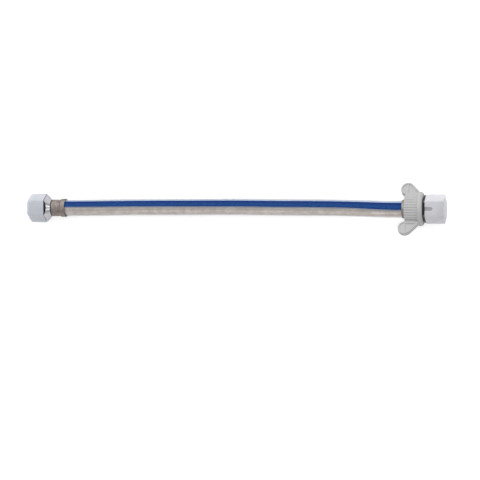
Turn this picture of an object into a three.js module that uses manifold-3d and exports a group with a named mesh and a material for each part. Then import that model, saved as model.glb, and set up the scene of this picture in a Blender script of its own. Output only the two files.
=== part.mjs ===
// A flexible water supply hose: a wire-braided hose under a clear cover with one blue stripe,
// a plain union nut on one end, a winged hand-tightening union nut on the other, and a
// protective cap pushed over each nut.
// Millimetres, +Z up. +X runs from the plain end to the winged end. The origin lies on the
// table that the hose rests on, midway between the ends of the two caps and under the axis
// of the winged end.
import * as THREE from "three";
import { mergeVertices } from "three/addons/utils/BufferGeometryUtils.js";
import Module from "manifold-3d";

const wasm = await Module();
wasm.setup();

// The whole hose
const HOSE_LENGTH = 400; // between the two sealing faces
const CLEARANCE = 0.3; // between pieces that touch
const PLAIN_END_OFFSET = 2.3; // how far the plain end lies to the side of the winged end
const ROUND_SIDES = 32; // on every turned piece
const HEX_SIDES = 6;
const CUT_PAST = 1; // a body that is cut away runs this far past the face it cuts
const JOIN_DEPTH = 1; // joined bodies run this far into each other
const SAME_POINT = 1e-4; // corners closer than this are one

// The hose itself, from the inside out
const TUBE_BORE_RADIUS = 6;
const TUBE_WALL = 1.1;
const BRAID_WALL = 0.4;
const STRIPE_WALL = 0.2;
const COVER_WALL = 0.6;
const LAYER_GAP = 0.1; // between layers, which are pressed together on the real hose
const HOSE_SIDES = 12;
const STRIPE_FACETS = 2; // sides of the section that the stripe covers
const STRIPE_START = THREE.MathUtils.degToRad(1); // from straight up, towards +Y
const HOSE_STEPS = 18;
const COVER_IN_BELL = 2.4; // how far the cover reaches into the ferrule's bell

// Gasket, in front of the tail's flange: its outer face is the sealing face
const GASKET_THICKNESS = 2.5;
const GASKET_RADIUS = 9.2;
const GASKET_HOLE_RADIUS = 5.2;

// Tail, the brass piece that the nut turns on and the hose is pushed over
const FLANGE_RADIUS = 9.1;
const FLANGE_THICKNESS = 2.7;
const NECK_RADIUS = 6.2;
const WATERWAY_RADIUS = 4.5;
const BARB_RADIUS = 5.65;
const BARB_ROOT_RADIUS = 5.25;
const BARB_COUNT = 4;
const BARB_PITCH = 3;
const BARB_SLOPE_SHARE = 0.9; // of one barb's pitch
const TAIL_SHORT_OF_BELL = 1; // the tail ends this far inside the ferrule's mouth

// Ferrule, the steel sleeve crimped over the hose
const FERRULE_WALL = 0.6;
const FERRULE_LENGTH = 14.7;
const FERRULE_FRONT_WALL = 1.2;
const FERRULE_FIT = 0.3; // between the braid and the sleeve
const BELL_LENGTH = 4;
const BELL_FLARE_LENGTH = 1.9;
const BELL_FIT = 0.15; // between the cover and the bell
const BELL_WALL = 0.55;
const CRIMP_GROOVE_DEPTH = 0.3;
const CRIMP_GROOVE_WIDTH = 2;
const CRIMP_GROOVE_FROM_MOUTH = 6.3;

// Union nuts, with a half-inch pipe thread
const ACROSS_FLATS = 24;
const THREAD_RADIUS = 9.9; // middle of the thread's depth
const THREAD_LEAD_RADIUS = 10.6;
const THREAD_LEAD_LENGTH = 1;
const NUT_BACK_LENGTH = 6.6; // from the flange's seat to the back of the nut

// Plain nut, with a coned back
const PLAIN_NUT_FRONT = 8.4; // from the sealing face to the nut's mouth
const PLAIN_NUT_FACE_RADIUS = 11;
const PLAIN_NUT_FRONT_CHAMFER = 2.4;
const PLAIN_NUT_CONE_LENGTH = 4.9;
const PLAIN_NUT_BACK_RADIUS = 8.5;

// Winged nut: a hex nut with a collar at its mouth and a hub that the grip is pressed on
const WING_NUT_FRONT = 12;
const WING_NUT_COLLAR_LENGTH = 2.4;
const WING_NUT_COLLAR_RADIUS = 11.7;
const WING_NUT_CHAMFER = 1.1;
const HUB_LENGTH = 6.2;
const HUB_RADIUS = 11;

// Grip: a ribbed plastic body with a smooth rim and two wings
const RIM_RADIUS = 17;
const RIM_LENGTH = 4.8;
const RIM_ROUNDING = 1.4;
const GRIP_LENGTH = 18;
const RIB_TOP_RADIUS = 15.3;
const RIB_HEIGHT = 0.7;
const RIB_COUNT = 36;
const RIB_TOP_SHARE = 0.45; // of one rib's pitch
const GRIP_BACK_CHAMFER = 0.8;
const GRIP_BACK_BORE_RADIUS = 10.1;
const WING_THICKNESS = 5.5;
const WING_EDGE = 0.8; // chamfer round the wing
const WING_TIP_RADIUS = 29.3; // from the axis to the tip
const LOBE_RADIUS = 7;
const LOBE_BEHIND_FACE = 17.1; // from the rim's face back to the lobe's centre
const LOBE_SEGMENTS = 8;
const WING_SLOPE = THREE.MathUtils.degToRad(50); // of the front edge, down to the rim
const WING_ROOT_RADIUS = 12.5; // the wing starts inside the body
const DISH_DEPTH = 0.8; // finger dish in each side of a wing
const DISH_RIM = 2;
const DISH_FOOT_RADIUS = 18.2;
const DISH_RIB_WIDTH = 1.4;

// Caps, thin cups with six sides and rounded corners
const CAP_WALL = 0.7;
const CAP_END_WALL = 1;
const CAP_FIT = 0.25; // between the nut's flats and the cap
const CAP_CORNER_RADIUS = 1.2;
const CAP_CORNER_SEGMENTS = 3;
const TAPER_CUTTER_MARGIN = 2; // the bar that tapers a cap starts this far outside its flats
const PLAIN_CAP_FRONT = 11.2; // from the sealing face to the cap's end
const PLAIN_CAP_LENGTH = 17.8;
const PLAIN_CAP_TAPER_LENGTH = 3;
const PLAIN_CAP_TAPER_DEPTH = 2.4;
const WING_CAP_FRONT = 15;
const WING_CAP_LENGTH = 18.9;
const WING_CAP_ROUNDING = 1.1;
const SLOT_WIDTH = 3.8; // slots that let the cap's mouth spread
const SLOT_LENGTH = 8.2;
const SLOT_POINT_LENGTH = 1.9;

// The hose's route on the table, from one ferrule's mouth to the other
const ROUTE = [
  [-174.5, 2.3, 12.95],
  [-161, 2.3, 12.95],
  [-140, 2.45, 12.75],
  [-120, 2.65, 12.1],
  [-100, 2.85, 11.2],
  [-80, 2.9, 10.2],
  [-60, 2.93, 9.35],
  [-40, 2.93, 8.8],
  [-20, 2.95, 8.62],
  [0, 2.9, 8.6],
  [20, 2.7, 8.66],
  [40, 2.4, 9.1],
  [60, 2.2, 10.1],
  [80, 2, 11.5],
  [100, 1.7, 13.1],
  [120, 1.2, 14.7],
  [138, 0.6, 16],
  [152, 0.15, 16.8],
  [161, 0, 17],
  [170.7, 0, 17],
];

// Sizes that follow from the ones above. Along each end, distances count from the sealing
// face, outwards to the cap and, below zero, back along the hose.
const tubeRadius = TUBE_BORE_RADIUS + TUBE_WALL;
const braidRadius = tubeRadius + LAYER_GAP + BRAID_WALL;
const stripeRadius = braidRadius + LAYER_GAP + STRIPE_WALL;
const coverBoreRadius = stripeRadius + LAYER_GAP;
const coverRadius = coverBoreRadius + COVER_WALL;

const flangeFront = -GASKET_THICKNESS - CLEARANCE;
const flangeBack = flangeFront - FLANGE_THICKNESS;
const nutSeat = flangeBack - CLEARANCE;
const nutBack = nutSeat - NUT_BACK_LENGTH;
const neckHoleRadius = NECK_RADIUS + CLEARANCE;
const ferruleFront = nutBack - CLEARANCE;
const ferruleMouth = ferruleFront - FERRULE_LENGTH;
const hoseStart = ferruleFront - FERRULE_FRONT_WALL - CLEARANCE;
const coverStart = ferruleMouth + COVER_IN_BELL;

const hexHalfAngle = Math.PI / HEX_SIDES; // from the middle of a flat to its corner
const cornerRadius = ACROSS_FLATS / 2 / Math.cos(hexHalfAngle);
const capFlat = ACROSS_FLATS / 2 + CAP_FIT + CAP_WALL; // half across the cap's flats
const rimFace = nutBack + HUB_LENGTH - CLEARANCE;
const hexBack = nutBack + HUB_LENGTH;

const overallLength = PLAIN_CAP_FRONT + HOSE_LENGTH + WING_CAP_FRONT;
const plainSeal = PLAIN_CAP_FRONT - overallLength / 2;
const wingSeal = plainSeal + HOSE_LENGTH;

// The winged end lies on its rim and on the tip of one wing, which sets how the wings lean.
const tipReach = WING_TIP_RADIUS - WING_EDGE;
const wingTilt =
  Math.asin(RIM_RADIUS / Math.hypot(tipReach, WING_THICKNESS / 2)) -
  Math.atan2(WING_THICKNESS / 2, tipReach);

// Materials
const finish = (color, roughness, metalness, opacity = 1) =>
  new THREE.MeshStandardMaterial({
    color,
    roughness,
    metalness,
    opacity,
    transparent: opacity < 1,
  });
const CHROME = finish(0xd8dadd, 0.12, 1);
const BRASS = finish(0xb8924a, 0.3, 1);
const STEEL = finish(0x8f857f, 0.35, 1);
const BRAID = finish(0xb4b0ac, 0.4, 0.8);
const RUBBER = finish(0x1c1c1e, 0.8, 0);
const INNER_TUBE = finish(0xd9d6cc, 0.7, 0);
const BLUE = finish(0x164b90, 0.5, 0);
const CLEAR = finish(0xe6ebf2, 0.15, 0, 0.3);
const GREY_PLASTIC = finish(0xbebdbe, 0.5, 0);
const CAP_PLASTIC = finish(0xd7dae3, 0.35, 0, 0.6);

// A geometry as a solid that can be cut and joined, and back again.
function asSolid(geometry) {
  const bare = geometry.clone();
  bare.deleteAttribute("normal");
  bare.deleteAttribute("uv");
  const merged = mergeVertices(bare, SAME_POINT);
  const mesh = new wasm.Mesh({
    numProp: 3,
    vertProperties: merged.attributes.position.array,
    triVerts: new Uint32Array(merged.index.array),
  });
  return new wasm.Manifold(mesh);
}

function asGeometry(solid) {
  const { vertProperties, triVerts } = solid.getMesh();
  const geometry = new THREE.BufferGeometry();
  geometry.setAttribute("position", new THREE.BufferAttribute(vertProperties, 3));
  geometry.setIndex(new THREE.BufferAttribute(triVerts, 1));
  return geometry;
}

// A body turned about X. The profile lists [along, radius], its outer side with growing
// "along" and its bore on the way back.
function turned(profile, sides = ROUND_SIDES) {
  const closed = [...profile, profile[0]];
  const points = closed.map(([along, radius]) => new THREE.Vector2(radius, along));
  return new THREE.LatheGeometry(points, sides).rotateZ(-Math.PI / 2);
}

// A solid bar turned about X, closed on the axis at both ends.
function turnedBar(profile, sides = ROUND_SIDES) {
  const last = profile.length - 1;
  return turned([[profile[0][0], 0], ...profile, [profile[last][0], 0]], sides);
}

// An outline in Y and Z, pushed along X from one place to another.
function alongX(shape, from, to) {
  const geometry = new THREE.ExtrudeGeometry(shape, {
    depth: to - from,
    curveSegments: CAP_CORNER_SEGMENTS,
    bevelEnabled: false,
  });
  return geometry.rotateY(Math.PI / 2).translate(from, 0, 0);
}

// A hexagon with flats facing up and down, its corners rounded if a radius is given.
function hexagon(halfAcrossFlats, rounding = 0) {
  const shape = new THREE.Shape();
  const centreRadius = (halfAcrossFlats - rounding) / Math.cos(hexHalfAngle);
  for (let corner = 0; corner < HEX_SIDES; corner++) {
    const angle = (2 * corner + 1) * hexHalfAngle;
    const x = centreRadius * Math.cos(angle);
    const y = centreRadius * Math.sin(angle);
    if (rounding) shape.absarc(x, y, rounding, angle - hexHalfAngle, angle + hexHalfAngle);
    else if (corner) shape.lineTo(x, y);
    else shape.moveTo(x, y);
  }
  return shape;
}

// The hose

const sectionAngle = (side) => STRIPE_START + (side * 2 * Math.PI) / HOSE_SIDES;

// A point of the hose's section: the angle runs from straight up towards +Y.
const onSection = (radius, angle) =>
  new THREE.Vector2(-radius * Math.cos(angle), radius * Math.sin(angle));

function sectionRing(outerRadius, innerRadius) {
  const sides = [...Array(HOSE_SIDES).keys()];
  const outer = sides.map((side) => onSection(outerRadius, sectionAngle(side)));
  const inner = sides.map((side) => onSection(innerRadius, sectionAngle(side)));
  const ring = new THREE.Shape(outer);
  ring.holes.push(new THREE.Path(inner.reverse())); // a hole runs the other way round
  return ring;
}

function stripeSection() {
  const sides = [...Array(STRIPE_FACETS + 1).keys()];
  const outer = sides.map((side) => onSection(stripeRadius, sectionAngle(side)));
  const inner = sides.map((side) => onSection(braidRadius + LAYER_GAP, sectionAngle(side)));
  return new THREE.Shape([...outer, ...inner.reverse()]);
}

// The route, carried straight on into both ferrules as far as the given distance from the
// sealing faces.
function routeTo(start) {
  const points = ROUTE.map(([x, y, z]) => new THREE.Vector3(x, y, z));
  const first = points[0].clone().setX(plainSeal - start);
  const last = points[points.length - 1].clone().setX(wingSeal + start);
  return new THREE.CatmullRomCurve3([first, ...points, last]);
}

function hoseLayer(section, start) {
  return new THREE.ExtrudeGeometry(section, {
    steps: HOSE_STEPS,
    extrudePath: routeTo(start),
    bevelEnabled: false,
  });
}

// The pieces that both ends have. Each is made along X, with the sealing face at 0.

function gasket() {
  return turned([
    [-GASKET_THICKNESS, GASKET_RADIUS],
    [0, GASKET_RADIUS],
    [0, GASKET_HOLE_RADIUS],
    [-GASKET_THICKNESS, GASKET_HOLE_RADIUS],
  ]);
}

function tail() {
  const end = ferruleMouth + TAIL_SHORT_OF_BELL;
  const barbs = [];
  for (let barb = 0; barb < BARB_COUNT; barb++) {
    const root = end + barb * BARB_PITCH;
    barbs.push([root, BARB_ROOT_RADIUS], [root + BARB_PITCH * BARB_SLOPE_SHARE, BARB_RADIUS]);
  }
  return turned([
    ...barbs,
    [end + BARB_COUNT * BARB_PITCH, BARB_ROOT_RADIUS],
    [hoseStart, BARB_ROOT_RADIUS],
    [hoseStart, NECK_RADIUS],
    [flangeBack, NECK_RADIUS],
    [flangeBack, FLANGE_RADIUS],
    [flangeFront, FLANGE_RADIUS],
    [flangeFront, WATERWAY_RADIUS],
    [end, WATERWAY_RADIUS],
  ]);
}

function ferrule() {
  const bore = braidRadius + FERRULE_FIT;
  const outside = bore + FERRULE_WALL;
  const bellBore = coverRadius + BELL_FIT;
  const bell = bellBore + BELL_WALL;
  const bellEnd = ferruleMouth + BELL_LENGTH;
  const groove = ferruleMouth + CRIMP_GROOVE_FROM_MOUTH;
  const grooveEnd = groove + CRIMP_GROOVE_WIDTH;
  return turned([
    [ferruleMouth, bell],
    [bellEnd, bell],
    [bellEnd + BELL_FLARE_LENGTH, outside],
    [groove, outside],
    [groove + CRIMP_GROOVE_DEPTH, outside - CRIMP_GROOVE_DEPTH],
    [grooveEnd - CRIMP_GROOVE_DEPTH, outside - CRIMP_GROOVE_DEPTH],
    [grooveEnd, outside],
    [ferruleFront - FERRULE_WALL, outside],
    [ferruleFront, outside - FERRULE_WALL],
    [ferruleFront, neckHoleRadius],
    [ferruleFront - FERRULE_FRONT_WALL, neckHoleRadius],
    [ferruleFront - FERRULE_FRONT_WALL, bore],
    [bellEnd, bore],
    [bellEnd, bellBore],
    [ferruleMouth, bellBore],
  ]);
}

// The threaded socket and the hole for the tail's neck, through either nut.
function nutBore(mouth) {
  return turnedBar([
    [nutBack - CUT_PAST, neckHoleRadius],
    [nutSeat, neckHoleRadius],
    [nutSeat, THREAD_RADIUS],
    [mouth - THREAD_LEAD_LENGTH, THREAD_RADIUS],
    [mouth, THREAD_LEAD_RADIUS],
    [mouth + CUT_PAST, THREAD_LEAD_RADIUS],
  ]);
}

function plainNut() {
  const coneStart = nutBack + PLAIN_NUT_CONE_LENGTH;
  const bar = alongX(hexagon(ACROSS_FLATS / 2), nutBack, PLAIN_NUT_FRONT);
  const outline = turnedBar([
    [nutBack, PLAIN_NUT_BACK_RADIUS],
    [coneStart, cornerRadius],
    [PLAIN_NUT_FRONT - PLAIN_NUT_FRONT_CHAMFER, cornerRadius],
    [PLAIN_NUT_FRONT, PLAIN_NUT_FACE_RADIUS],
  ]);
  const blank = asSolid(bar).intersect(asSolid(outline));
  return asGeometry(blank.subtract(asSolid(nutBore(PLAIN_NUT_FRONT))));
}

function wingNut() {
  const collarStart = WING_NUT_FRONT - WING_NUT_COLLAR_LENGTH;
  const flatsRadius = ACROSS_FLATS / 2;
  const bar = alongX(hexagon(flatsRadius), hexBack, collarStart);
  const outline = turnedBar([
    [hexBack, flatsRadius],
    [hexBack + WING_NUT_CHAMFER, cornerRadius],
    [collarStart - WING_NUT_CHAMFER, cornerRadius],
    [collarStart, flatsRadius],
  ]);
  const hub = turnedBar([
    [nutBack, HUB_RADIUS],
    [hexBack + JOIN_DEPTH, HUB_RADIUS],
  ]);
  const collar = turnedBar([
    [collarStart - JOIN_DEPTH, WING_NUT_COLLAR_RADIUS],
    [WING_NUT_FRONT, WING_NUT_COLLAR_RADIUS],
  ]);
  const hex = asSolid(bar).intersect(asSolid(outline));
  const blank = hex.add(asSolid(hub)).add(asSolid(collar));
  return asGeometry(blank.subtract(asSolid(nutBore(WING_NUT_FRONT))));
}

// The grip

function ribbedOutline() {
  const points = [];
  const pitch = (2 * Math.PI) / RIB_COUNT;
  const half = (pitch * RIB_TOP_SHARE) / 2;
  for (let rib = 0; rib < RIB_COUNT; rib++) {
    for (const [turn, radius] of [
      [-pitch / 2, RIB_TOP_RADIUS - RIB_HEIGHT],
      [-half, RIB_TOP_RADIUS],
      [half, RIB_TOP_RADIUS],
    ]) {
      const angle = rib * pitch + turn;
      points.push(new THREE.Vector2(radius * Math.cos(angle), radius * Math.sin(angle)));
    }
  }
  return new THREE.Shape(points);
}

// A plate in X and Y, centred on Z and chamfered all round.
function plate(shape, thickness, chamfer) {
  const settings = {
    depth: thickness - 2 * chamfer,
    curveSegments: LOBE_SEGMENTS,
    bevelThickness: chamfer,
    bevelSize: chamfer,
    bevelOffset: -chamfer,
    bevelSegments: 1,
    bevelEnabled: chamfer > 0,
  };
  const geometry = new THREE.ExtrudeGeometry(shape, settings);
  return geometry.translate(0, 0, chamfer - thickness / 2);
}

// A wing's outline from its root, round the lobe at its tip, and back to its root. An inset
// draws the same outline further in, as the edge of the finger dish.
function wingOutline(inset, footY, rootY) {
  const lobeX = rimFace - LOBE_BEHIND_FACE;
  const lobeY = WING_TIP_RADIUS - LOBE_RADIUS;
  const radius = LOBE_RADIUS - inset;
  const backX = rimFace - GRIP_LENGTH + inset;
  const backAngle = 2 * Math.PI - Math.acos((backX - lobeX) / radius);
  const slopeStart = Math.PI / 2 - WING_SLOPE; // where the slope leaves the lobe's circle
  const slopeTopX = lobeX + radius * Math.cos(slopeStart);
  const slopeTopY = lobeY + radius * Math.sin(slopeStart);
  const footX = slopeTopX + (slopeTopY - footY) / Math.tan(WING_SLOPE);
  const shape = new THREE.Shape();
  shape.moveTo(footX, rootY);
  if (rootY < footY) shape.lineTo(footX, footY);
  shape.absarc(lobeX, lobeY, radius, slopeStart, backAngle);
  shape.lineTo(backX + GRIP_BACK_CHAMFER, rootY);
  return shape;
}

function wing() {
  const outline = wingOutline(0, RIM_RADIUS - RIM_ROUNDING, WING_ROOT_RADIUS);
  const blade = asSolid(plate(outline, WING_THICKNESS, WING_EDGE));
  const dish = wingOutline(DISH_RIM, DISH_FOOT_RADIUS, DISH_FOOT_RADIUS);
  const rib = new THREE.BoxGeometry(DISH_RIB_WIDTH, 2 * LOBE_RADIUS, WING_THICKNESS);
  rib.translate(rimFace - LOBE_BEHIND_FACE, WING_TIP_RADIUS - LOBE_RADIUS, 0);
  const core = plate(dish, WING_THICKNESS - 2 * DISH_DEPTH, 0);
  const through = plate(dish, WING_THICKNESS + CUT_PAST, 0);
  const hollows = asSolid(through).subtract(asSolid(core)).subtract(asSolid(rib));
  return blade.subtract(hollows);
}

function wingGrip() {
  const back = rimFace - GRIP_LENGTH;
  const rimBack = rimFace - RIM_LENGTH;
  const ribbed = asSolid(alongX(ribbedOutline(), back, rimBack + JOIN_DEPTH));
  const backEdge = turnedBar([
    [back, RIB_TOP_RADIUS - GRIP_BACK_CHAMFER],
    [back + GRIP_BACK_CHAMFER, RIB_TOP_RADIUS],
    [rimBack + JOIN_DEPTH, RIB_TOP_RADIUS],
  ]);
  const rim = turnedBar([
    [rimBack, RIM_RADIUS - RIM_ROUNDING / 2],
    [rimBack + RIM_ROUNDING / 2, RIM_RADIUS],
    [rimFace - RIM_ROUNDING, RIM_RADIUS],
    [rimFace, RIM_RADIUS - RIM_ROUNDING],
  ]);
  const bore = turnedBar([
    [back - CUT_PAST, GRIP_BACK_BORE_RADIUS],
    [nutBack - CLEARANCE, GRIP_BACK_BORE_RADIUS],
    [nutBack - CLEARANCE, HUB_RADIUS + CLEARANCE],
    [rimFace + CUT_PAST, HUB_RADIUS + CLEARANCE],
  ]);
  let grip = ribbed.intersect(asSolid(backEdge)).add(asSolid(rim));
  for (const side of [0, 1]) {
    const angle = THREE.MathUtils.radToDeg(side * Math.PI - wingTilt);
    grip = grip.add(wing().rotate([angle, 0, 0]));
  }
  return asGeometry(grip.subtract(asSolid(bore)));
}

// The caps

// A bar with six rounded sides whose far end tapers on all six.
function taperedBar(halfAcrossFlats, rounding, from, to, taperLength, taperDepth) {
  const bar = alongX(hexagon(halfAcrossFlats, rounding), from, to);
  const toCorner = 1 / Math.cos(hexHalfAngle);
  const cutterRadius = (halfAcrossFlats + TAPER_CUTTER_MARGIN) * toCorner;
  const cutter = turnedBar(
    [
      [from, cutterRadius],
      [to - taperLength * (1 + TAPER_CUTTER_MARGIN / taperDepth), cutterRadius],
      [to, (halfAcrossFlats - taperDepth) * toCorner],
    ],
    HEX_SIDES,
  );
  return asSolid(bar).intersect(asSolid(cutter.rotateX(hexHalfAngle)));
}

function capCup(front, length, taperLength, taperDepth) {
  const mouth = front - length;
  const taper = [taperLength, taperDepth];
  const outside = taperedBar(capFlat, CAP_CORNER_RADIUS, mouth, front, ...taper);
  const inside = taperedBar(
    capFlat - CAP_WALL,
    CAP_CORNER_RADIUS - CAP_WALL,
    mouth - CUT_PAST,
    front - CAP_END_WALL,
    ...taper,
  );
  return outside.subtract(inside);
}

function plainCap() {
  const cup = capCup(
    PLAIN_CAP_FRONT,
    PLAIN_CAP_LENGTH,
    PLAIN_CAP_TAPER_LENGTH,
    PLAIN_CAP_TAPER_DEPTH,
  );
  return asGeometry(cup);
}

function wingCap() {
  const mouth = WING_CAP_FRONT - WING_CAP_LENGTH;
  const slot = new THREE.Shape([
    new THREE.Vector2(mouth - CUT_PAST, -SLOT_WIDTH / 2),
    new THREE.Vector2(mouth + SLOT_LENGTH - SLOT_POINT_LENGTH, -SLOT_WIDTH / 2),
    new THREE.Vector2(mouth + SLOT_LENGTH, 0),
    new THREE.Vector2(mouth + SLOT_LENGTH - SLOT_POINT_LENGTH, SLOT_WIDTH / 2),
    new THREE.Vector2(mouth - CUT_PAST, SLOT_WIDTH / 2),
  ]);
  const cup = capCup(WING_CAP_FRONT, WING_CAP_LENGTH, WING_CAP_ROUNDING, WING_CAP_ROUNDING);
  return asGeometry(cup.subtract(asSolid(plate(slot, 2 * (capFlat + CUT_PAST), 0))));
}

// Assembly: each end is a group at its sealing face, with X pointing away from the hose.
const hose = new THREE.Group();

function addPiece(parent, name, geometry, material) {
  const mesh = new THREE.Mesh(geometry, material);
  mesh.name = name;
  parent.add(mesh);
}

const tubeSection = sectionRing(tubeRadius, TUBE_BORE_RADIUS);
const braidSection = sectionRing(braidRadius, tubeRadius + LAYER_GAP);
const coverSection = sectionRing(coverRadius, coverBoreRadius);
addPiece(hose, "inner_tube", hoseLayer(tubeSection, hoseStart), INNER_TUBE);
addPiece(hose, "wire_braid", hoseLayer(braidSection, hoseStart), BRAID);
addPiece(hose, "blue_stripe", hoseLayer(stripeSection(), coverStart), BLUE);
addPiece(hose, "clear_cover", hoseLayer(coverSection, coverStart), CLEAR);

const plainEnd = new THREE.Group();
plainEnd.position.set(plainSeal, PLAIN_END_OFFSET, capFlat);
plainEnd.rotation.z = Math.PI;
hose.add(plainEnd);

const wingEnd = new THREE.Group();
wingEnd.position.set(wingSeal, 0, RIM_RADIUS);
hose.add(wingEnd);

for (const [end, label] of [
  [plainEnd, "plain_end"],
  [wingEnd, "wing_end"],
]) {
  addPiece(end, label + "_gasket", gasket(), RUBBER);
  addPiece(end, label + "_tail", tail(), BRASS);
  addPiece(end, label + "_ferrule", ferrule(), STEEL);
}
addPiece(plainEnd, "plain_nut", plainNut(), CHROME);
addPiece(plainEnd, "plain_cap", plainCap(), CAP_PLASTIC);
addPiece(wingEnd, "wing_nut", wingNut(), CHROME);
addPiece(wingEnd, "wing_grip", wingGrip(), GREY_PLASTIC);
addPiece(wingEnd, "wing_cap", wingCap(), CAP_PLASTIC);

export default hose;
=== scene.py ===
import math

import bpy
import numpy as np
from mathutils import Matrix, Vector


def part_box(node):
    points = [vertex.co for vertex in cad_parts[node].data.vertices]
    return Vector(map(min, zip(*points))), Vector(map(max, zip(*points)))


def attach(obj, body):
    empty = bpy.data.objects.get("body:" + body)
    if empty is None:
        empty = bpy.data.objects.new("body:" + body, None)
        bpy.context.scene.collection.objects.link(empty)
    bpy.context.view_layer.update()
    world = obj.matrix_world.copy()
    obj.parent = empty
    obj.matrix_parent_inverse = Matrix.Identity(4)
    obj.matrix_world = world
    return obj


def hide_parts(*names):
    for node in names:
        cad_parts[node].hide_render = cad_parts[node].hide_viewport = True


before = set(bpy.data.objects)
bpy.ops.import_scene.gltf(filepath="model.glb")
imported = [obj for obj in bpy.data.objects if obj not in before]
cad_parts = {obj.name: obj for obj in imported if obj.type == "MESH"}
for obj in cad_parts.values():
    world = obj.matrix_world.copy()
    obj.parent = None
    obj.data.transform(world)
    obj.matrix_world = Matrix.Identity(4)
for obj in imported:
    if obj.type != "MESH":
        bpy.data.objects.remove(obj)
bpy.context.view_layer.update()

mm = 0.001


# The camera
# A long lens, almost straight above the hose and a little to its right, so that the
# picture's long side lies along the hose and one pixel at the hose is one millimetre.
IMAGE_PIXELS = 480
SENSOR_WIDTH = 36  # millimetres, as Blender counts it
camera_distance = 2439 * mm
camera_lean = math.radians(12.4)
look_at = Vector((5.75, -30.4, 11.7)) * mm

camera_data = bpy.data.cameras.new("camera")
camera_data.sensor_width = SENSOR_WIDTH
camera_data.lens = SENSOR_WIDTH * camera_distance / (IMAGE_PIXELS * mm)
camera_data.clip_end = 20
camera = bpy.data.objects.new("camera", camera_data)
bpy.context.collection.objects.link(camera)
backwards = Vector((math.sin(camera_lean), 0, math.cos(camera_lean)))
camera.location = look_at + camera_distance * backwards
camera.rotation_euler = (0, camera_lean, 0)
bpy.context.scene.camera = camera


# Inner tube
# The rubber liner that carries the water, extruded as one length. The braid hides all but
# glimpses of it, and both ends are pushed over the barbs of the tails. It lies as the hose
# was put down: straight out of each ferrule, then down to the table, which it rests on in
# the middle.
route = np.array([
    (-174.5, 2.3, 12.95),
    (-161, 2.3, 12.95),
    (-140, 2.45, 12.75),
    (-120, 2.65, 12.1),
    (-100, 2.85, 11.2),
    (-80, 2.9, 10.2),
    (-60, 2.93, 9.35),
    (-40, 2.93, 8.8),
    (-20, 2.95, 8.62),
    (0, 2.9, 8.6),
    (20, 2.7, 8.66),
    (40, 2.4, 9.1),
    (60, 2.2, 10.1),
    (80, 2, 11.5),
    (100, 1.7, 13.1),
    (120, 1.2, 14.7),
    (138, 0.6, 16),
    (152, 0.15, 16.8),
    (161, 0, 17),
    (170.7, 0, 17),
]) * mm
UP = np.array((0, 0, 1))


def line_between(start_x, end_x, step):
    """Points along the hose from one x to the other, with the up and side directions there."""
    start = np.array((start_x, *route[0, 1:]))
    end = np.array((end_x, *route[-1, 1:]))
    knots = np.vstack([start, route, end])
    at_knot = np.concatenate([[0], np.cumsum(np.linalg.norm(np.diff(knots, axis=0), axis=1))])
    slopes = np.gradient(knots, at_knot, axis=0)
    slopes[[0, 1, -2, -1]] = (1, 0, 0)
    at = np.linspace(0, at_knot[-1], round(at_knot[-1] / step) + 1)
    before = np.clip(np.searchsorted(at_knot, at, side="right") - 1, 0, len(knots) - 2)
    gap = (at_knot[before + 1] - at_knot[before])[:, None]
    t = (at - at_knot[before])[:, None] / gap
    points = (
        (2 * t**3 - 3 * t**2 + 1) * knots[before]
        + (t**3 - 2 * t**2 + t) * gap * slopes[before]
        + (3 * t**2 - 2 * t**3) * knots[before + 1]
        + (t**3 - t**2) * gap * slopes[before + 1]
    )
    ahead = np.gradient(points, at, axis=0)
    ahead /= np.linalg.norm(ahead, axis=1)[:, None]
    up = UP - (ahead @ UP)[:, None] * ahead
    up /= np.linalg.norm(up, axis=1)[:, None]
    return {"at": at, "points": points, "up": up, "side": np.cross(up, ahead)}


def node_line(node, step):
    """The line of one CAD layer of the hose, from its one end to its other."""
    low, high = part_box(node)
    return line_between(low[0], high[0], step)


def on_line(line, angle, radius):
    """Points round the hose. Both tables have a row for each point of the line; an angle is
    counted from straight up towards +Y."""
    up, side = line["up"][:, None, :], line["side"][:, None, :]
    out = np.cos(angle)[..., None] * up + np.sin(angle)[..., None] * side
    return line["points"][:, None, :] + radius[..., None] * out


def tube_piece(name, rows):
    """A closed piece from one ring of points per step of the line, capped at both ends."""
    steps, around = rows.shape[:2]
    index = np.arange(steps * around).reshape(steps, around)
    ahead = np.roll(index, -1, axis=1)
    quads = np.stack([index[:-1], ahead[:-1], ahead[1:], index[1:]], axis=-1).reshape(-1, 4)
    mesh = bpy.data.meshes.new(name)
    ends = [tuple(index[0][::-1]), tuple(index[-1])]
    mesh.from_pydata(rows.reshape(-1, 3).tolist(), [], quads.tolist() + ends)
    mesh.shade_smooth()
    piece = bpy.data.objects.new(name, mesh)
    bpy.context.collection.objects.link(piece)
    return piece


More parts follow.
